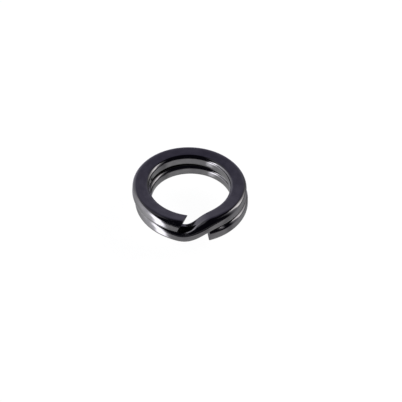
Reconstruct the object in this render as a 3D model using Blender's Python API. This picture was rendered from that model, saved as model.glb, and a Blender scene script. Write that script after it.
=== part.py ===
"""Split key ring: one length of flattened spring wire, coiled into two full turns.

The upper turn starts at its free end, front left, runs round the back and comes down through the
crossover, which steps down by one wire thickness at the front. The lower turn leaves the
crossover, runs round the back and stops at its free end, front right.

The wire is divided where it flexes when a free end is pried away: at the left, the back and the
right of each turn. Each of those places has an empty with its local Z along the flexure axis, and
the piece of wire beyond it hangs on that empty, so turning the empties opens the ring.

A place on the wire is its turn angle in degrees: 0 at the middle of the crossover, positive along
the upper turn and negative along the lower one. Lengths are millimetres until a mesh or a
location is written. +Z is the ring's axis, and the crossover faces -Y.
"""

import math

import bmesh
import bpy
from mathutils import Matrix, Vector

MM = 0.001  # metres in a millimetre

# The wire
WIRE_WIDTH = 1.76  # across the face of the ring
WIRE_THICKNESS = 1.38  # along the ring's axis
EDGE_RADIUS = 0.40  # rounding left on the edges by rolling the wire flat
FRONT_ROUNDING = 0.7  # growth of the upper outer edge's radius where the press worked on it
FRONT_ANGLE = 40.0  # how far that reaches to either side of the crossover

# The coil
COIL_RADIUS = 5.15  # ring's axis to the middle of the wire
CROSSOVER_GAP = 0.11  # clear height between the turns beside the crossover
FREE_END_SETTLE = 0.03  # how far each free end leans back towards the other turn
TURN_OFFSET = 0.125  # upper turn to the left of the ring's axis, lower turn to the right
CROSSOVER_HALF_ANGLE = 24.0
CROSSOVER_BULGE = 0.28  # how far the pressed step stands out beyond the coil
BULGE_ANGLE = 20.0
UPPER_END = 346.5
LOWER_END = -345.6
FLARE_ANGLE = 44.0  # last stretch of each turn, which springs outwards
FREE_END_FLARE = 0.15
UPPER_CUT_SLOPES = (-0.13, 0.28)  # lean of the cut along the wire, per mm of width and thickness
LOWER_CUT_SLOPES = (-0.25, 0.06)

# How the wire is divided and how far it opens
HINGE_TURNS = (90.0, 180.0, 270.0)
HINGE_ZONES = (CROSSOVER_HALF_ANGLE, 135.0, 225.0)  # where each hinge's flexing stretch begins
PIECE_GAP = 0.08
FREE_END_LIFT = 1.6
YOUNG_TO_SHEAR = 2.6  # ratio of the moduli of spring steel

# Fineness of the faceted solid
TURN_STEP = 7.5
CROSSOVER_STEP = 3.0
EDGE_SEGMENTS = 4
FLEXURE_STEPS = 60

PLATING_COLOUR = (0.032, 0.031, 0.040, 1.0)
PLATING_ROUGHNESS = 0.22
PLATING_METALLIC = 1.0
SMOOTH_BELOW = math.radians(35.0)


def smooth_step(x):
    """Rises from 0 to 1 with no slope and no curvature at either end."""
    x = min(max(x, 0.0), 1.0)
    return x * x * x * (x * (6.0 * x - 15.0) + 10.0)


def free_end(turn):
    """Turn angle of the free end that this place belongs to."""
    return UPPER_END if turn > 0.0 else LOWER_END


def centreline(turn):
    """Middle of the wire at a turn angle."""
    side = math.copysign(1.0, turn)
    length = abs(free_end(turn))
    level = 2.0 * smooth_step(0.5 + 0.5 * turn / CROSSOVER_HALF_ANGLE) - 1.0
    settled = max(abs(turn) - CROSSOVER_HALF_ANGLE, 0.0) / (length - CROSSOVER_HALF_ANGLE)
    flared = max(abs(turn) - length + FLARE_ANGLE, 0.0) / FLARE_ANGLE
    radius = COIL_RADIUS + FREE_END_FLARE * flared**2
    radius += CROSSOVER_BULGE * math.exp(-((turn / BULGE_ANGLE) ** 2))
    azimuth = math.radians(turn - 90.0)
    return Vector(
        (
            radius * math.cos(azimuth) - TURN_OFFSET * level,
            radius * math.sin(azimuth),
            0.5 * (WIRE_THICKNESS + CROSSOVER_GAP) * level - side * FREE_END_SETTLE * settled**2,
        )
    )


def wire_axes(turn):
    """Directions across, up through and along the wire."""
    step = 0.01
    along = (centreline(turn + step) - centreline(turn - step)).normalized()
    azimuth = math.radians(turn - 90.0)
    across = Vector((math.cos(azimuth), math.sin(azimuth), 0.0))
    across = (across - along * across.dot(along)).normalized()
    return across, across.cross(along), along


def upper_outer_radius(turn):
    """Radius of the upper outer edge, which is rounder near the front except on the lower end."""
    if turn < -180.0:
        return EDGE_RADIUS
    from_front = (turn + 180.0) % 360.0 - 180.0
    return EDGE_RADIUS * (1.0 + FRONT_ROUNDING * math.exp(-((from_front / FRONT_ANGLE) ** 2)))


def section_outline(turn):
    """Corners of the flattened wire's section, as (across, up) from its middle."""
    radii = (upper_outer_radius(turn), EDGE_RADIUS, EDGE_RADIUS, EDGE_RADIUS)
    points = []
    for quarter, (x, z) in enumerate(((1, 1), (-1, 1), (-1, -1), (1, -1))):
        radius = radii[quarter]
        for k in range(EDGE_SEGMENTS + 1):
            angle = 0.5 * math.pi * (quarter + k / EDGE_SEGMENTS)
            points.append(
                (
                    x * (0.5 * WIRE_WIDTH - radius) + radius * math.cos(angle),
                    z * (0.5 * WIRE_THICKNESS - radius) + radius * math.sin(angle),
                )
            )
    return points


def section_at(turn):
    """The section's corners in place on the wire. A free end is sheared at a slant."""
    middle = centreline(turn)
    across, up, along = wire_axes(turn)
    lean_across, lean_up = {
        UPPER_END: UPPER_CUT_SLOPES,
        LOWER_END: LOWER_CUT_SLOPES,
    }.get(turn, (0.0, 0.0))
    return [
        middle + across * x + up * z + along * (lean_across * x + lean_up * z)
        for x, z in section_outline(turn)
    ]


def stations(start, stop):
    """Turn angles to place sections at, closer together where the wire steps down."""
    inside = max(abs(start), abs(stop)) <= CROSSOVER_HALF_ANGLE
    count = math.ceil((stop - start) / (CROSSOVER_STEP if inside else TURN_STEP))
    return [start + (stop - start) * k / count for k in range(count)] + [stop]


def wire_mesh(name, start, stop, to_local):
    """Closed mesh of the wire between two turn angles."""
    bm = bmesh.new()
    rings = [
        [bm.verts.new(to_local @ (corner * MM)) for corner in section_at(turn)]
        for turn in stations(start, stop)
    ]
    corners = range(len(rings[0]))
    for ring, following in zip(rings, rings[1:]):
        for k in corners:
            bm.faces.new((ring[k - 1], following[k - 1], following[k], ring[k]))
    bm.faces.new(rings[0])
    bm.faces.new(reversed(rings[-1]))
    mesh = bpy.data.meshes.new(name)
    bm.to_mesh(mesh)
    bm.free()
    mesh.shade_smooth()
    mesh.set_sharp_from_angle(angle=SMOOTH_BELOW)
    return mesh


def plating(name):
    """Black nickel: a dark, nearly mirror-bright metal."""
    material = bpy.data.materials.new(name + "_plating")
    material.use_nodes = True
    shader = material.node_tree.nodes["Principled BSDF"]
    shader.inputs["Base Color"].default_value = PLATING_COLOUR
    shader.inputs["Roughness"].default_value = PLATING_ROUGHNESS
    shader.inputs["Metallic"].default_value = PLATING_METALLIC
    material.diffuse_color = PLATING_COLOUR
    return material


def wire_piece(name, start, stop, hinge):
    """One piece of the wire, hung on the empty that it turns about."""
    gap = math.degrees(0.5 * PIECE_GAP / COIL_RADIUS)
    start += 0.0 if start == LOWER_END else gap
    stop -= 0.0 if stop == UPPER_END else gap
    mesh = wire_mesh(name, start, stop, hinge.matrix_world.inverted())
    mesh.materials.append(plating(name))
    piece = bpy.data.objects.new(name, mesh)
    bpy.context.scene.collection.objects.link(piece)
    piece.parent = hinge
    return piece


def twist_share():
    """Bending stiffness over torsional stiffness of the wire, as a rectangular bar."""
    slim = WIRE_THICKNESS / WIRE_WIDTH
    torsion = 1.0 / 3.0 - 0.21 * slim * (1.0 - slim**4 / 12.0)
    return YOUNG_TO_SHEAR / 12.0 / torsion


def flexure(start, stop):
    """Small rotation that builds up between two turn angles when the free end is pried away.

    The pull acts on the free end, away from the other turn. Its moment bends the wire about the
    direction across it and twists it about its own direction. The length of the result is
    relative: all flexing stretches share one scale.
    """
    side = math.copysign(1.0, start)
    tip = centreline(free_end(start))
    rotation = Vector()
    for k in range(FLEXURE_STEPS):
        turn = start + (stop - start) * (k + 0.5) / FLEXURE_STEPS
        across, _, along = wire_axes(turn)
        moment = (tip - centreline(turn)).cross(Vector((0.0, 0.0, side)))
        rotation += across * moment.dot(across) + along * (moment.dot(along) * twist_share())
    return rotation * (math.radians(abs(stop - start)) / FLEXURE_STEPS)


def hinge_chain(side, root):
    """Empties for one turn's three flexing places, each hung on the one before it.

    Each one keeps its share of the opening in degrees for the full lift of the free end.
    """
    tip = centreline(free_end(side))
    edges = HINGE_ZONES + (abs(free_end(side)),)
    rotations = [flexure(side * a, side * b) for a, b in zip(edges, edges[1:])]
    places = [centreline(side * turn) for turn in HINGE_TURNS]
    reach = sum(abs(r.cross(tip - p).z) for r, p in zip(rotations, places))
    chain = []
    parent = root
    for turn, rotation, place in zip(HINGE_TURNS, rotations, places):
        name = f"{'upper' if side > 0 else 'lower'}_hinge_{turn:.0f}"
        hinge = bpy.data.objects.new(name, None)
        bpy.context.scene.collection.objects.link(hinge)
        hinge.parent = parent
        facing = rotation.to_track_quat("Z", "Y").to_matrix().to_4x4()
        hinge.matrix_world = Matrix.Translation(place * MM) @ facing
        hinge["opening_deg"] = math.degrees(rotation.length * FREE_END_LIFT / reach)
        bpy.context.view_layer.update()
        chain.append(hinge)
        parent = hinge
    return chain


def clear_scene():
    for thing in list(bpy.data.objects):
        bpy.data.objects.remove(thing, do_unlink=True)


def build_ring():
    root = bpy.data.objects.new("split_ring", None)
    bpy.context.scene.collection.objects.link(root)
    right, back, left = HINGE_TURNS
    step = CROSSOVER_HALF_ANGLE
    wire_piece("crossover", -step, step, root)

    upper = hinge_chain(1.0, root)
    wire_piece("upper_front_right", step, right, root)
    wire_piece("upper_back_right", right, back, upper[0])
    wire_piece("upper_back_left", back, left, upper[1])
    wire_piece("upper_free_end", left, UPPER_END, upper[2])

    lower = hinge_chain(-1.0, root)
    wire_piece("lower_front_left", -right, -step, root)
    wire_piece("lower_back_left", -back, -right, lower[0])
    wire_piece("lower_back_right", -left, -back, lower[1])
    wire_piece("lower_free_end", LOWER_END, -left, lower[2])


clear_scene()
build_ring()
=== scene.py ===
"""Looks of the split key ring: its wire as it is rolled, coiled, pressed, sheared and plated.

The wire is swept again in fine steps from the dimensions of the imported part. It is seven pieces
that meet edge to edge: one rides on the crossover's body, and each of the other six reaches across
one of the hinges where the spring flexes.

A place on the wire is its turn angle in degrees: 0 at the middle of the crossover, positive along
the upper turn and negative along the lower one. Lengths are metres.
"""

import math
from collections import namedtuple

import bpy
import numpy as np
from mathutils import Matrix, Vector, noise


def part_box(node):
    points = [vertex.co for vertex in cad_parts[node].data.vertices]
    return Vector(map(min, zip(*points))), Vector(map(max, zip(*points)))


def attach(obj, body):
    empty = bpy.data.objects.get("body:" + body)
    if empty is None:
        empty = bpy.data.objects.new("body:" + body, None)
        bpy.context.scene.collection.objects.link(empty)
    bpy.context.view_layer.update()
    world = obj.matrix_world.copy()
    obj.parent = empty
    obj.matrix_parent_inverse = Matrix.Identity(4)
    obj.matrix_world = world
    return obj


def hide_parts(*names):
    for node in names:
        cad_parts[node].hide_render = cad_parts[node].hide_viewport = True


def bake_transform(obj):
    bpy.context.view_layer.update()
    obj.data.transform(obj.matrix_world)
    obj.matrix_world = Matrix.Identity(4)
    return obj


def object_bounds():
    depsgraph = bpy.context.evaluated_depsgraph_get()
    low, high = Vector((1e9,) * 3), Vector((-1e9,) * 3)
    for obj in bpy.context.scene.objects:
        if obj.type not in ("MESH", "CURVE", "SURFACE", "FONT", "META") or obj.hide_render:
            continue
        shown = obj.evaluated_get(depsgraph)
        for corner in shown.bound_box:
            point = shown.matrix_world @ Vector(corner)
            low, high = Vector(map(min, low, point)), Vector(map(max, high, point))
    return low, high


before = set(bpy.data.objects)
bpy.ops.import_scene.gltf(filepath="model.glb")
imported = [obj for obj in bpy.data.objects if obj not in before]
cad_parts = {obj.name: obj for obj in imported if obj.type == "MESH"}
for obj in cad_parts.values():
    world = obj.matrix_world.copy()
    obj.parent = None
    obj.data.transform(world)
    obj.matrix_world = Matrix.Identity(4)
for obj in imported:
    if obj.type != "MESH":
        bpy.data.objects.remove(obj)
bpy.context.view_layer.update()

MM = 0.001

# Shape of the wire that the nodes' boxes don't give, as in the part
EDGE_RADIUS = 0.40 * MM
FRONT_ROUNDING = 0.7
FRONT_ANGLE = 40.0
CROSSOVER_BULGE = 0.28 * MM
BULGE_ANGLE = 20.0
UPPER_END_FLARE = 0.15 * MM
FLARE_ANGLE = 44.0
FREE_END_SETTLE = 0.03 * MM

# How far a cut leans along the wire for each unit across and up the section
UPPER_CUT_SLOPES = (-0.20, 0.38)  # a little more than the part's
LOWER_CUT_SLOPES = (-0.25, 0.06)

# Where else the wire is seen to differ a little from the part
UPPER_END_REACH = -1.8  # degrees further round
LOWER_END_REACH = 1.6
LOWER_END_FLARE = 0.075 * MM

# Marks of manufacture
WIRE_TILT = math.radians(4.0)  # the coiled wire leans a little, outer side up
PRESS_TILT = math.radians(8.0)  # more lean where the press stepped it
PRESS_TILT_ANGLE = 35.0
END_TILT = math.radians(3.5)  # and towards the free ends
END_TILT_ANGLE = 40.0
CROWN = 0.008 * MM  # swelling of the rolled flats
POLISHED = 0.011 * MM  # taken off each flat, so that the turns clear each other when they bend
WAVE_SIZE = 0.004 * MM  # unevenness of the coiled wire
WAVE_TWIST = math.radians(0.4)
WAVE_LENGTH = 2.6 * MM
PRESS_FLAT = 0.020 * MM  # how deep the press flattens the middle of the crossover
PRESS_ANGLE = 11.0
SHEAR_ROLLOVER = 0.10 * MM  # rounding where the blade entered
SHEAR_EDGE = 0.025 * MM  # rounding where it left
SHEAR_TEAR = 0.014 * MM  # roughness of the torn metal between them
TEAR_SIZE = 0.16 * MM
SHEAR_REACH = 12.0  # degrees over which the sections lean to meet a slanted cut
SCUFF_REACH = 26.0  # degrees from a cut over which the wire is scuffed

# Nicks of the cutter. Facing is 0 on the outer wall and 90 on top. Reaches are in degrees too.
Nick = namedtuple("Nick", "turn reach facing depth")
NICKS = (
    Nick(turn=-331.5, reach=5.6, facing=50.0, depth=0.085 * MM),
    Nick(turn=-341.0, reach=1.6, facing=20.0, depth=0.016 * MM),
    Nick(turn=338.0, reach=1.5, facing=-12.0, depth=0.012 * MM),
)
NICK_REACH_ROUND = 34.0

# Fineness
TURN_STEP = 0.75
CROSSOVER_STEP = 0.5
CORNER_STEPS = 9
FLAT_STEPS = 5
BEVEL_STEPS = 4
CAP_RINGS = 6

# Places on each turn
HINGE_TURNS = (90.0, 180.0, 270.0)  # where one body hands over to the next
SEAM_TURNS = (45.0, 135.0, 225.0)  # where the visible pieces meet, halfway between the hinges
STIFF_TURN = 315.0  # a free end bends up to here and is stiff beyond


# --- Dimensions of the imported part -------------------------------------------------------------


def corners_of(node):
    """All vertices of a CAD node."""
    return np.array([vertex.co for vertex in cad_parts[node].data.vertices])


def turn_angles(points, side):
    """Size of the turn angle of points on one turn, seen from that turn's own centre."""
    azimuth = np.degrees(np.arctan2(points[:, 1], points[:, 0] + side * TURN_OFFSET))
    return side * (azimuth + 90.0) % 360.0


def cut_angle(node, side):
    """Size of the turn angle at the middle of a free end's cut."""
    angles = turn_angles(corners_of(node), side)
    section = angles[angles > angles.max() - 5.0]
    return 0.5 * (section.min() + section.max())


_, back_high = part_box("upper_back_right")
front_low, front_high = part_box("upper_front_right")
_, lower_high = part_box("lower_front_left")

WIRE_THICKNESS = front_high.z - front_low.z
CROSSOVER_GAP = front_low.z - lower_high.z
OUTER_RADIUS = back_high.y
TURN_OFFSET = OUTER_RADIUS - back_high.x
back_corners = corners_of("upper_back_right")
INNER_RADIUS = np.hypot(back_corners[:, 0] + TURN_OFFSET, back_corners[:, 1]).min()
WIRE_WIDTH = OUTER_RADIUS - INNER_RADIUS
COIL_RADIUS = 0.5 * (OUTER_RADIUS + INNER_RADIUS)
CROSSOVER_HALF_ANGLE = 0.5 * (
    turn_angles(corners_of("upper_front_right"), 1.0).min()
    + turn_angles(corners_of("lower_front_left"), -1.0).min()
)
UPPER_END = cut_angle("upper_free_end", 1.0) + UPPER_END_REACH
LOWER_END = -cut_angle("lower_free_end", -1.0) - LOWER_END_REACH


# --- The wire's path and section ---------------------------------------------------------------


def smooth_step(x):
    x = np.clip(x, 0.0, 1.0)
    return x**3 * (x * (6.0 * x - 15.0) + 10.0)


def bell(x, width):
    return np.exp(-((x / width) ** 2))


def centreline(turn):
    """Middle of the wire at an array of turn angles."""
    side = np.where(turn > 0.0, 1.0, -1.0)
    length = np.where(turn > 0.0, UPPER_END, -LOWER_END)
    widest = np.where(turn > 0.0, UPPER_END_FLARE, LOWER_END_FLARE)
    level = 2.0 * smooth_step(0.5 + 0.5 * turn / CROSSOVER_HALF_ANGLE) - 1.0
    settled = np.maximum(abs(turn) - CROSSOVER_HALF_ANGLE, 0.0) / (length - CROSSOVER_HALF_ANGLE)
    flared = np.maximum(abs(turn) - length + FLARE_ANGLE, 0.0) / FLARE_ANGLE
    radius = COIL_RADIUS + widest * flared**2 + CROSSOVER_BULGE * bell(turn, BULGE_ANGLE)
    azimuth = np.radians(turn - 90.0)
    rise = 0.5 * (WIRE_THICKNESS + CROSSOVER_GAP) * level - side * FREE_END_SETTLE * settled**2
    x = radius * np.cos(azimuth) - TURN_OFFSET * level
    return np.stack([x, radius * np.sin(azimuth), rise], axis=-1)


def wire_axes(turn):
    """Directions across, up through and along the wire."""
    step = 0.01
    along = centreline(turn + step) - centreline(turn - step)
    along /= np.linalg.norm(along, axis=-1, keepdims=True)
    azimuth = np.radians(turn - 90.0)
    across = np.stack([np.cos(azimuth), np.sin(azimuth), np.zeros_like(azimuth)], axis=-1)
    across -= along * np.sum(across * along, axis=-1, keepdims=True)
    across /= np.linalg.norm(across, axis=-1, keepdims=True)
    return across, np.cross(across, along), along


def outline_plan():
    """For each point round the section: its outward direction, and its share of each corner.

    The corners are inner lower, outer lower, outer upper and inner upper. The points start at
    the middle of the inner wall.
    """
    directions, shares = [], []
    for corner in range(4):
        own = np.eye(4)[corner]
        following = np.eye(4)[(corner + 1) % 4]
        for k in range(CORNER_STEPS + 1):
            angle = math.radians(180.0 + 90.0 * corner + 90.0 * k / CORNER_STEPS)
            directions.append((math.cos(angle), math.sin(angle)))
            shares.append(own)
        for k in range(1, FLAT_STEPS):
            directions.append(directions[-1])
            shares.append(own + (following - own) * k / FLAT_STEPS)
    start = FLAT_STEPS // 2
    return np.roll(directions, start, axis=0), np.roll(shares, start, axis=0)


OUTWARD, CORNER_SHARE = outline_plan()
CORNER_SIDES = np.array([(-1.0, -1.0), (1.0, -1.0), (1.0, 1.0), (-1.0, 1.0)])
OUTLINE_POINTS = len(OUTWARD)


def outlines(turn):
    """Points (across, up) round the section at each turn angle.

    The upper outer edge is rounder near the front, except on the lower free end.
    """
    radii = np.full((len(turn), 4), EDGE_RADIUS)
    from_front = (turn + 180.0) % 360.0 - 180.0
    growth = FRONT_ROUNDING * bell(from_front, FRONT_ANGLE)
    radii[:, 2] *= 1.0 + np.where(turn < -180.0, 0.0, growth)
    half = np.array([0.5 * WIRE_WIDTH, 0.5 * WIRE_THICKNESS])
    points = (CORNER_SHARE @ CORNER_SIDES) * half
    rounding = OUTWARD[:, None] - CORNER_SIDES[None]
    points = points + np.einsum("pc,nc,pck->npk", CORNER_SHARE, radii, rounding)
    x, z = points[..., 0], points[..., 1]
    sunk = POLISHED + CROWN * (x / half[0]) ** 2 + PRESS_FLAT * bell(turn, PRESS_ANGLE)[:, None]
    return np.stack([x, z - sunk * z / half[1]], axis=-1) - nicks(turn)


def nicks(turn):
    """Shallow marks that the cutter left near the free ends, as depths at each outline point."""
    facing = np.degrees(np.arctan2(OUTWARD[:, 1], OUTWARD[:, 0]))
    depth = np.zeros((len(turn), OUTLINE_POINTS))
    for nick in NICKS:
        along = bell(turn - nick.turn, nick.reach)
        round_section = bell((facing - nick.facing + 180.0) % 360.0 - 180.0, NICK_REACH_ROUND)
        depth += nick.depth * along[:, None] * round_section
    return depth[..., None] * OUTWARD


def wave(turn, row):
    """Smooth unevenness along the wire, between about -1 and 1. Each row is its own pattern."""
    place = np.radians(turn) * COIL_RADIUS / WAVE_LENGTH
    return 1.6 * np.array([noise.noise(Vector((s, 7.3 * row, 0.5))) for s in place])


def place_sections(turn, sections):
    """Sections set in place on the wire, with its lean and its slight unevenness."""
    middle = centreline(turn)
    across, up, _ = wire_axes(turn)
    from_front = (turn + 180.0) % 360.0 - 180.0
    at_end = np.where(abs(turn) > 180.0, bell(from_front, END_TILT_ANGLE), 0.0)
    lean = WIRE_TILT + PRESS_TILT * bell(turn, PRESS_TILT_ANGLE) + END_TILT * at_end
    lean = lean + WAVE_TWIST * wave(turn, 0.0)
    wider = 1.0 + 2.0 * WAVE_SIZE * wave(turn, 1.0) / WIRE_WIDTH
    thicker = 1.0 + 2.0 * WAVE_SIZE * wave(turn, 2.0) / WIRE_THICKNESS
    x = sections[..., 0] * wider[:, None]
    z = sections[..., 1] * thicker[:, None]
    cosine, sine = np.cos(lean)[:, None], np.sin(lean)[:, None]
    leaning_x = (x * cosine - z * sine)[..., None]
    leaning_z = (x * sine + z * cosine)[..., None]
    return middle[:, None] + across[:, None] * leaning_x + up[:, None] * leaning_z


def skin(turn):
    """Points of the wire's skin: a row for each turn angle, a column for each outline point."""
    return place_sections(turn, outlines(turn))


def skin_normals(turn):
    """Outward directions of the skin, from its slopes along and around the wire."""
    step = 0.05
    slope_along = skin(turn + step) - skin(turn - step)
    points = skin(turn)
    slope_around = np.roll(points, -1, axis=1) - np.roll(points, 1, axis=1)
    normal = np.cross(slope_along, slope_around)
    return normal / np.linalg.norm(normal, axis=-1, keepdims=True)


# --- Sheared ends ------------------------------------------------------------------------------


def cut_slopes(turn):
    return UPPER_CUT_SLOPES if turn > 0.0 else LOWER_CUT_SLOPES


def cut_rounding(turn, section):
    """Rounding round the cut: rolled over where the blade came in, crisp where it left.

    The blade comes from the ring's outside face, above on the upper turn.
    """
    entered = 0.5 + math.copysign(1.0, turn) * section[:, 1] / WIRE_THICKNESS
    return SHEAR_EDGE + (SHEAR_ROLLOVER - SHEAR_EDGE) * smooth_step(1.4 * entered - 0.4)


def cut_push(turn, section):
    """How far along the wire each point of a slanted cut lies from the cut's middle."""
    slopes = cut_slopes(turn)
    return slopes[0] * section[:, 0] + slopes[1] * section[:, 1]


def lean_to_cut(turns, points, turn):
    """Draws the last sections out or in, so that they run up to the slanted cut."""
    section = outlines(np.array([turn]))[0]
    _, _, along = wire_axes(turns)
    share = smooth_step(1.0 - np.abs(turns - turn) / SHEAR_REACH)
    push = cut_push(turn, section) - math.copysign(1.0, turn) * cut_rounding(turn, section)
    return points + along[:, None] * (share[:, None] * push)[..., None]


def torn_height(turn, x, z):
    """Roughness of the torn metal at a place on a cut."""
    return SHEAR_TEAR * noise.noise(Vector((x, z, 0.0)) / TEAR_SIZE + Vector((0.0, 0.0, turn)))


def cut_rings(turn):
    """Rings of points from the skin's edge to near the middle of the cut, then the middle."""
    here = np.array([turn])
    section = outlines(here)[0]
    direction = math.copysign(1.0, turn)
    rounding = cut_rounding(turn, section)
    _, _, along = wire_axes(here)
    rings = []
    for k in range(1, BEVEL_STEPS + 1):
        angle = 0.5 * math.pi * k / BEVEL_STEPS
        inset = section - OUTWARD * (rounding * (1.0 - math.cos(angle)))[:, None]
        rings.append((inset, rounding * (math.sin(angle) - 1.0)))
    inner = rings[-1][0]
    for k in range(1, CAP_RINGS):
        ring = inner * (1.0 - k / CAP_RINGS)
        rings.append((ring, np.array([torn_height(turn, x, z) for x, z in ring])))
    placed = []
    for ring, depth in rings:
        push = cut_push(turn, ring) + direction * depth
        placed.append(place_sections(here, ring[None])[0] + along * push[:, None])
    return placed, centreline(here)[0]


# --- Meshes ------------------------------------------------------------------------------------


class Skin:
    """Vertices and faces of one piece, gathered ring by ring."""

    def __init__(self):
        self.points = []
        self.normals = []
        self.marks = {"edge": [], "cut": [], "scuff": []}
        self.faces = []
        self.uv = []
        self.flat = set()

    def add_points(self, points, normals, edge, cut, scuff):
        first = len(self.points)
        self.points += [tuple(point) for point in points]
        self.normals += [tuple(normal) for normal in normals]
        for name, values in (("edge", edge), ("cut", cut), ("scuff", scuff)):
            self.marks[name] += list(np.broadcast_to(values, len(points)))
        return list(range(first, len(self.points)))

    def add_face(self, corners, uv, flip=False):
        pairs = list(zip(corners, uv))
        pairs = pairs[::-1] if flip else pairs
        self.faces.append([corner for corner, _ in pairs])
        self.uv += [place for _, place in pairs]

    def add_cut_face(self, corners, flip):
        """A face of a cut, mapped by its distance from the ring's axis and its height."""
        uv = [(math.hypot(*self.points[c][:2]), self.points[c][2]) for c in corners]
        self.add_face(corners, uv, flip)

    def to_mesh(self, name):
        mesh = bpy.data.meshes.new(name)
        mesh.from_pydata(self.points, [], self.faces)
        layer = mesh.uv_layers.new(name="wire")
        layer.data.foreach_set("uv", np.array(self.uv).ravel() / MM)
        for label, values in self.marks.items():
            attribute = mesh.attributes.new(label, "FLOAT", "POINT")
            attribute.data.foreach_set("value", np.array(values, np.float32))
        mesh.shade_smooth()
        corner_normals = []
        for polygon in mesh.polygons:
            polygon.use_smooth = polygon.index not in self.flat
            for corner in polygon.vertices:
                normal = self.normals[corner] if polygon.use_smooth else (0.0, 0.0, 0.0)
                corner_normals.append(normal)
        mesh.normals_split_custom_set(corner_normals)
        return mesh


def edge_marks():
    """1 in the middle of the rounded edges and 0 on the flats."""
    lean = np.abs(OUTWARD)
    return 1.0 - np.abs(lean[:, 0] ** 2 - lean[:, 1] ** 2)


def around_places():
    """Distance round the section of each outline point, and once more for the first."""
    section = outlines(np.array([90.0]))[0]
    steps = np.linalg.norm(np.roll(section, -1, axis=0) - section, axis=1)
    return np.concatenate([[0.0], np.cumsum(steps)])


def stations(start, stop):
    """Turn angles to place sections at, closer together where the wire steps down."""
    finest = CROSSOVER_STEP if start < 0.0 < stop else TURN_STEP
    count = math.ceil((stop - start) / finest)
    return np.linspace(start, stop, count + 1)


def wire_mesh(name, start, stop):
    """Closed mesh of the wire between two turn angles."""
    turns = stations(start, stop)
    points = skin(turns)
    normals = skin_normals(turns)
    for end in (start, stop):
        if end in (LOWER_END, UPPER_END):
            points = lean_to_cut(turns, points, end)
    wire = Skin()
    around = around_places()
    edge = edge_marks()
    rings = []
    for turn, ring, ring_normals in zip(turns, points, normals):
        from_cut = (UPPER_END - turn) if turn > 0.0 else (turn - LOWER_END)
        scuff = float(smooth_step(1.0 - from_cut / SCUFF_REACH))
        rings.append(wire.add_points(ring, ring_normals, edge, 0.0, scuff))
    for k in range(len(turns) - 1):
        here, there = rings[k], rings[k + 1]
        s, t = np.radians(turns[k : k + 2]) * COIL_RADIUS
        for j in range(OUTLINE_POINTS):
            i = (j + 1) % OUTLINE_POINTS
            a, b = around[j], around[j + 1]
            corners = [here[j], there[j], there[i], here[i]]
            wire.add_face(corners, [(s, a), (t, a), (t, b), (s, b)])
    close_end(wire, rings[0], start, flip=False)
    close_end(wire, rings[-1], stop, flip=True)
    return wire.to_mesh(name)


def close_end(wire, ring, turn, flip):
    """Closes an end of a piece: a sheared cut at a free end, a plain flat face at a seam.

    A cut's points have zero normals, which leaves their shading to the faces round them.
    """
    if turn not in (LOWER_END, UPPER_END):
        wire.flat.add(len(wire.faces))
        wire.add_cut_face(ring, flip)
        return
    unset = np.zeros((OUTLINE_POINTS, 3))
    inner_rings, middle = cut_rings(turn)
    for points in inner_rings:
        following = wire.add_points(points, unset, 0.0, 1.0, 1.0)
        for j in range(OUTLINE_POINTS):
            i = (j + 1) % OUTLINE_POINTS
            wire.add_cut_face([ring[j], ring[i], following[i], following[j]], flip)
        ring = following
    centre = wire.add_points([middle], unset[:1], 0.0, 1.0, 1.0)[0]
    for j in range(OUTLINE_POINTS):
        wire.add_cut_face([ring[j], ring[(j + 1) % OUTLINE_POINTS], centre], flip)


def add_piece(name, start, stop):
    mesh = wire_mesh(name, start, stop)
    mesh.materials.append(black_nickel)
    piece = bpy.data.objects.new(name, mesh)
    bpy.context.scene.collection.objects.link(piece)
    return piece


def bend_across(piece, start, stop):
    """Bakes a piece's placement into its mesh. It looks up the sections at two turn angles but
    doesn't bend the piece.
    """
    near, far = skin(np.array([start, stop]))
    way = far.mean(axis=0) - near.mean(axis=0)
    way /= np.linalg.norm(way)
    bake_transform(piece)


# --- Material ----------------------------------------------------------------------------------


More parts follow.
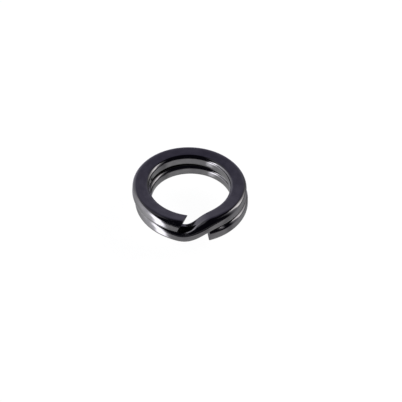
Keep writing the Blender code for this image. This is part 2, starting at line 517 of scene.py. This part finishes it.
class Graph:
    """Adds nodes to a node tree and wires them as they are made."""

    def __init__(self, tree):
        self.tree = tree

    def feed(self, socket, value):
        if isinstance(value, bpy.types.NodeSocket):
            self.tree.links.new(value, socket)
        else:
            socket.default_value = value

    def node(self, kind, inputs=None, **settings):
        made = self.tree.nodes.new(kind)
        for name, value in settings.items():
            setattr(made, name, value)
        for name, value in (inputs or {}).items():
            self.feed(made.inputs[name], value)
        return made

    def math(self, operation, *values):
        made = self.node("ShaderNodeMath", dict(enumerate(values)), operation=operation)
        return made.outputs[0]

    def vector(self, operation, *values, **inputs):
        made = self.node("ShaderNodeVectorMath", dict(enumerate(values)), operation=operation)
        for name, value in inputs.items():
            self.feed(made.inputs[name], value)
        return made.outputs[0]

    def rise(self, value, low, high, bottom=0.0, top=1.0):
        """Goes smoothly from bottom to top as the value goes from low to high."""
        names = ("Value", "From Min", "From Max", "To Min", "To Max")
        inputs = dict(zip(names, (value, low, high, bottom, top)))
        made = self.node("ShaderNodeMapRange", inputs, interpolation_type="SMOOTHSTEP")
        return made.outputs["Result"]

    def total(self, *terms):
        """Sum of values, each times its own factor."""
        result = 0.0
        for value, factor in terms:
            result = self.math("MULTIPLY_ADD", value, factor, result)
        return result

    def between(self, low_value, high_value, limits, soft):
        """1 between two limits, fading to 0 by its own softness to either side of each."""
        low, high = limits
        opens = self.rise(low_value, low - soft[0], low + soft[0])
        closes = self.rise(high_value, high - soft[1], high + soft[1], 1.0, 0.0)
        return self.math("MULTIPLY", opens, closes)

    def lit(self, light, radiance, mask):
        """Adds a radiance to the light, by the share that the mask gives."""
        return self.vector("ADD", light, self.vector("SCALE", radiance, Scale=mask))

    def stretched(self, vector, x, y):
        return self.vector("MULTIPLY", vector, (x, y, 1.0))

    def noise(self, vector, scale=1.0, detail=2.0, roughness=0.5):
        inputs = {"Vector": vector, "Scale": scale, "Detail": detail, "Roughness": roughness}
        return self.node("ShaderNodeTexNoise", inputs).outputs["Fac"]

    def mix(self, share, first, second):
        made = self.node("ShaderNodeMix", data_type="RGBA")
        for socket, value in ((0, share), (6, first), (7, second)):
            self.feed(made.inputs[socket], value)
        return made.outputs[2]


NICKEL_DARK = (0.074, 0.072, 0.079, 1.0)
NICKEL_LIGHT = (0.094, 0.092, 0.098, 1.0)
NICKEL_WORN = (0.190, 0.176, 0.162, 1.0)
SHEARED_STEEL = (0.026, 0.025, 0.029, 1.0)

# Roughness added where the edges are rubbed, where the ends are scuffed, and on the cuts
WORN_ROUGHNESS = 0.08
SCUFF_ROUGHNESS = 0.12
CUT_ROUGHNESS = 0.26
RELIEF_DEPTH = 0.006 * MM
RELIEF_STRENGTH = 0.12


def make_black_nickel():
    """Bright black nickel over drawn spring wire. The wire map is in millimetres."""
    material = bpy.data.materials.new("black_nickel")
    material.use_nodes = True
    graph = Graph(material.node_tree)
    place = graph.node("ShaderNodeUVMap", uv_map="wire").outputs["UV"]
    edge, cut, scuff = (
        graph.node("ShaderNodeAttribute", attribute_name=name).outputs["Fac"]
        for name in ("edge", "cut", "scuff")
    )
    drawn = graph.noise(graph.stretched(place, 0.22, 26.0), detail=3.0, roughness=0.6)
    mottle = graph.noise(graph.stretched(place, 1.1, 1.6), detail=4.0, roughness=0.55)
    grain = graph.noise(place, scale=38.0, detail=2.0)
    patches = graph.noise(graph.stretched(place, 0.9, 3.0), detail=5.0, roughness=0.7)
    worn = graph.math("MULTIPLY", graph.rise(edge, 0.55, 1.0), graph.rise(patches, 0.52, 0.70))
    marks = graph.rise(graph.noise(graph.stretched(place, 5.0, 9.0), detail=4.0), 0.42, 0.62)
    scuffed = graph.math("MULTIPLY", scuff, marks)

    tone = graph.rise(graph.total((mottle, 1.0), (drawn, 0.35)), 0.5, 0.85)
    colour = graph.mix(tone, NICKEL_DARK, NICKEL_LIGHT)
    colour = graph.mix(graph.math("MULTIPLY", worn, 0.5), colour, NICKEL_WORN)
    colour = graph.mix(cut, colour, SHEARED_STEEL)
    rough = graph.total(
        (graph.rise(drawn, 0.25, 0.8, 0.06, 0.12), 1.0),
        (graph.rise(mottle, 0.35, 0.75, 0.0, 0.05), 1.0),
        (worn, WORN_ROUGHNESS),
        (scuffed, SCUFF_ROUGHNESS),
        (cut, CUT_ROUGHNESS),
    )
    relief = graph.total((drawn, 0.55), (grain, 0.18), (mottle, 0.9), (scuffed, -0.8))
    bumped = {"Height": relief, "Strength": RELIEF_STRENGTH, "Distance": RELIEF_DEPTH}

    shader = material.node_tree.nodes["Principled BSDF"]
    graph.feed(shader.inputs["Base Color"], colour)
    graph.feed(shader.inputs["Roughness"], rough)
    graph.feed(shader.inputs["Normal"], graph.node("ShaderNodeBump", bumped).outputs["Normal"])
    shader.inputs["Metallic"].default_value = 1.0
    return material


# --- The ring ----------------------------------------------------------------------------------


def add_crossover():
    """The pressed front of the ring, which doesn't bend."""
    piece = add_piece("ring_crossover", -SEAM_TURNS[0], SEAM_TURNS[0])
    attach(piece, "crossover")
    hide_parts("crossover", "upper_front_right", "lower_front_left")


def add_turn(names, bodies, end):
    """The pieces of one turn. Each reaches across a hinge, from one body to the next."""
    side = math.copysign(1.0, end)
    places = [side * seam for seam in SEAM_TURNS] + [end]
    for k, name in enumerate(names):
        start, stop = places[k], places[k + 1]
        stiff = side * min(abs(stop), STIFF_TURN)
        piece = add_piece(name, min(start, stop), max(start, stop))
        bend_across(piece, side * HINGE_TURNS[k], stiff)
        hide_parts(bodies[k + 1])


black_nickel = make_black_nickel()
add_crossover()
add_turn(
    names=("upper_turn_right", "upper_turn_back", "upper_turn_left"),
    bodies=("crossover", "upper_back_right", "upper_back_left", "upper_free_end"),
    end=UPPER_END,
)
add_turn(
    names=("lower_turn_left", "lower_turn_back", "lower_turn_right"),
    bodies=("crossover", "lower_back_left", "lower_back_right", "lower_free_end"),
    end=LOWER_END,
)


# --- Floor, light and camera -------------------------------------------------------------------

FLOOR_RADIUS = 0.6
FLOOR_POINTS = 96
FLOOR_DROP = 1.3 * WIRE_THICKNESS  # below the closed ring, so that the lower turn can open
FLOOR_GLOW = 0.955
FLOOR_WHITE = 0.10


def lay_floor():
    """A white table, lit from below as well, so that it takes only the faintest shadow."""
    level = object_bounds()[0].z - FLOOR_DROP
    angles = np.linspace(0.0, 2.0 * math.pi, FLOOR_POINTS, endpoint=False)
    edge = [(FLOOR_RADIUS * math.cos(a), FLOOR_RADIUS * math.sin(a), level) for a in angles]
    mesh = bpy.data.meshes.new("floor")
    mesh.from_pydata(edge, [], [range(FLOOR_POINTS)])
    material = bpy.data.materials.new("pale_floor")
    material.use_nodes = True
    shader = material.node_tree.nodes["Principled BSDF"]
    shader.inputs["Base Color"].default_value = (FLOOR_WHITE, FLOOR_WHITE, FLOOR_WHITE, 1.0)
    shader.inputs["Roughness"].default_value = 1.0
    shader.inputs["Specular IOR Level"].default_value = 0.0
    shader.inputs["Emission Color"].default_value = (1.0, 1.0, 1.0, 1.0)
    shader.inputs["Emission Strength"].default_value = FLOOR_GLOW
    mesh.materials.append(material)
    floor = bpy.data.objects.new("floor", mesh)
    bpy.context.scene.collection.objects.link(floor)
    floor.visible_glossy = False


# Directions round the ring are azimuths, 0 towards -Y and 90 towards +X, and elevations. A
# panel's sides and heights are where it is half bright, and soft is how far it fades to either
# side of each, all in degrees.
Panel = namedtuple("Panel", "radiance sides sides_soft heights heights_soft")

SOFTBOX = (
    # the tent at the left, which glows less and less towards the back
    Panel((10.0, 10.0, 10.0), (-60.0, -57.0), (120.0, 11.0), (-45.0, 39.0), (10.0, 1.0)),
    # and the strip light in it
    Panel((9.0, 9.0, 9.0), (-77.0, -57.0), (7.0, 4.0), (-45.0, 39.0), (10.0, 1.0)),
)
SOFTBOX_LEAN = 0.9  # how far its right side moves left for each degree of height
SOFTBOX_LEAN_FROM = 7.0
WALLS = (
    # the grey wall at the left
    Panel((0.50, 0.50, 0.52), (-145.0, -85.0), (35.0, 10.0), (-15.0, 70.0), (5.0, 5.0)),
    # the pale wall at the right
    Panel((1.15, 1.15, 1.15), (75.0, 125.0), (10.0, 40.0), (-45.0, 50.0), (8.0, 8.0)),
    # and the window in it
    Panel((8.60, 8.40, 7.80), (90.0, 105.0), (5.0, 30.0), (11.0, 50.0), (1.0, 1.0)),
    # the near side of the table
    Panel((1.50, 1.50, 1.45), (-55.0, 70.0), (10.0, 10.0), (-50.0, -20.0), (10.0, 2.0)),
    # its far edge, on the photographer's side
    Panel((0.35, 0.35, 0.36), (-50.0, 55.0), (10.0, 10.0), (-8.0, -1.0), (2.0, 2.0)),
)
BACK_WALL_FROM = (130.0, 160.0)  # the wall behind fades in between these azimuths
BACK_WALL = (  # radiance, heights and their softness: the dimmer upper part, then the lower
    ((0.29, 0.27, 0.38), (43.0, 63.0), (8.0, 6.0)),
    ((0.58, 0.56, 0.69), (-40.0, 43.0), (8.0, 8.0)),
)
ROOM_GLOW = (0.022, 0.020, 0.034)
TABLE_GLOW = (1.02, 1.03, 0.99)
TABLE_EDGE = (-54.0, -40.0)


def studio_world():
    """A photo tent: dark in front and overhead, pale walls, and a strip light at the left."""
    world = bpy.data.worlds.new("studio")
    bpy.context.scene.world = world
    world.use_nodes = True
    world.node_tree.nodes.clear()
    graph = Graph(world.node_tree)
    azimuth, elevation = directions(graph)
    above = graph.math("MAXIMUM", graph.math("SUBTRACT", elevation, SOFTBOX_LEAN_FROM), 0.0)
    leaning = graph.math("ADD", azimuth, graph.math("MULTIPLY", above, SOFTBOX_LEAN))
    light = graph.lit(ROOM_GLOW, TABLE_GLOW, graph.rise(elevation, *TABLE_EDGE, 1.0, 0.0))
    for panel in SOFTBOX:
        mask = panel_mask(graph, panel, azimuth, leaning, elevation)
        light = graph.lit(light, panel.radiance, mask)
    for panel in WALLS:
        mask = panel_mask(graph, panel, azimuth, azimuth, elevation)
        light = graph.lit(light, panel.radiance, mask)
    behind = graph.rise(graph.math("ABSOLUTE", azimuth), *BACK_WALL_FROM)
    for radiance, heights, soft in BACK_WALL:
        mask = graph.math("MULTIPLY", behind, graph.between(elevation, elevation, heights, soft))
        light = graph.lit(light, radiance, mask)
    seen = graph.node("ShaderNodeLightPath").outputs["Is Camera Ray"]
    shown = graph.mix(seen, light, (1.0, 1.0, 1.0, 1.0))
    background = graph.node("ShaderNodeBackground", {"Color": shown, "Strength": 1.0})
    output = graph.node("ShaderNodeOutputWorld")
    graph.feed(output.inputs["Surface"], background.outputs[0])


def directions(graph):
    """Azimuth and elevation of the direction that a ray looks in."""
    way = graph.node("ShaderNodeTexCoord").outputs["Generated"]
    x, y, z = graph.node("ShaderNodeSeparateXYZ", {"Vector": way}).outputs
    azimuth = graph.math("ARCTAN2", x, graph.math("MULTIPLY", y, -1.0))
    elevation = graph.math("ARCSINE", z)
    return [graph.math("MULTIPLY", angle, 180.0 / math.pi) for angle in (azimuth, elevation)]


def panel_mask(graph, panel, left, right, elevation):
    """A panel's brightness, from the azimuths that its left and right sides are measured in."""
    across = graph.between(left, right, panel.sides, panel.sides_soft)
    up = graph.between(elevation, elevation, panel.heights, panel.heights_soft)
    return graph.math("MULTIPLY", across, up)


VIEW_AZIMUTH = -7.2
VIEW_ELEVATION = 43.9
VIEW_ROLL = 1.8
VIEW_DISTANCE = 15.0 * COIL_RADIUS
VIEW_SHIFT = (0.026, -0.021)
SENSOR = 36.0  # millimetres, like the lens
LENS = 65.0


def place_camera():
    """The photograph's viewpoint: high, slightly left of the crossover, and close."""
    data = bpy.data.cameras.new("camera")
    data.sensor_width = SENSOR
    data.lens = LENS
    data.shift_x, data.shift_y = VIEW_SHIFT
    data.clip_start = 0.1 * VIEW_DISTANCE
    data.clip_end = 100.0 * VIEW_DISTANCE
    camera = bpy.data.objects.new("camera", data)
    bpy.context.scene.collection.objects.link(camera)
    swing = Matrix.Rotation(math.radians(VIEW_AZIMUTH), 4, "Z")
    tilt = Matrix.Rotation(math.radians(90.0 - VIEW_ELEVATION), 4, "X")
    roll = Matrix.Rotation(math.radians(VIEW_ROLL), 4, "Z")
    back = Matrix.Translation((0.0, 0.0, VIEW_DISTANCE))
    camera.matrix_world = swing @ tilt @ roll @ back
    bpy.context.scene.camera = camera


lay_floor()
studio_world()
place_camera()
bpy.context.scene.view_settings.view_transform = "Standard"
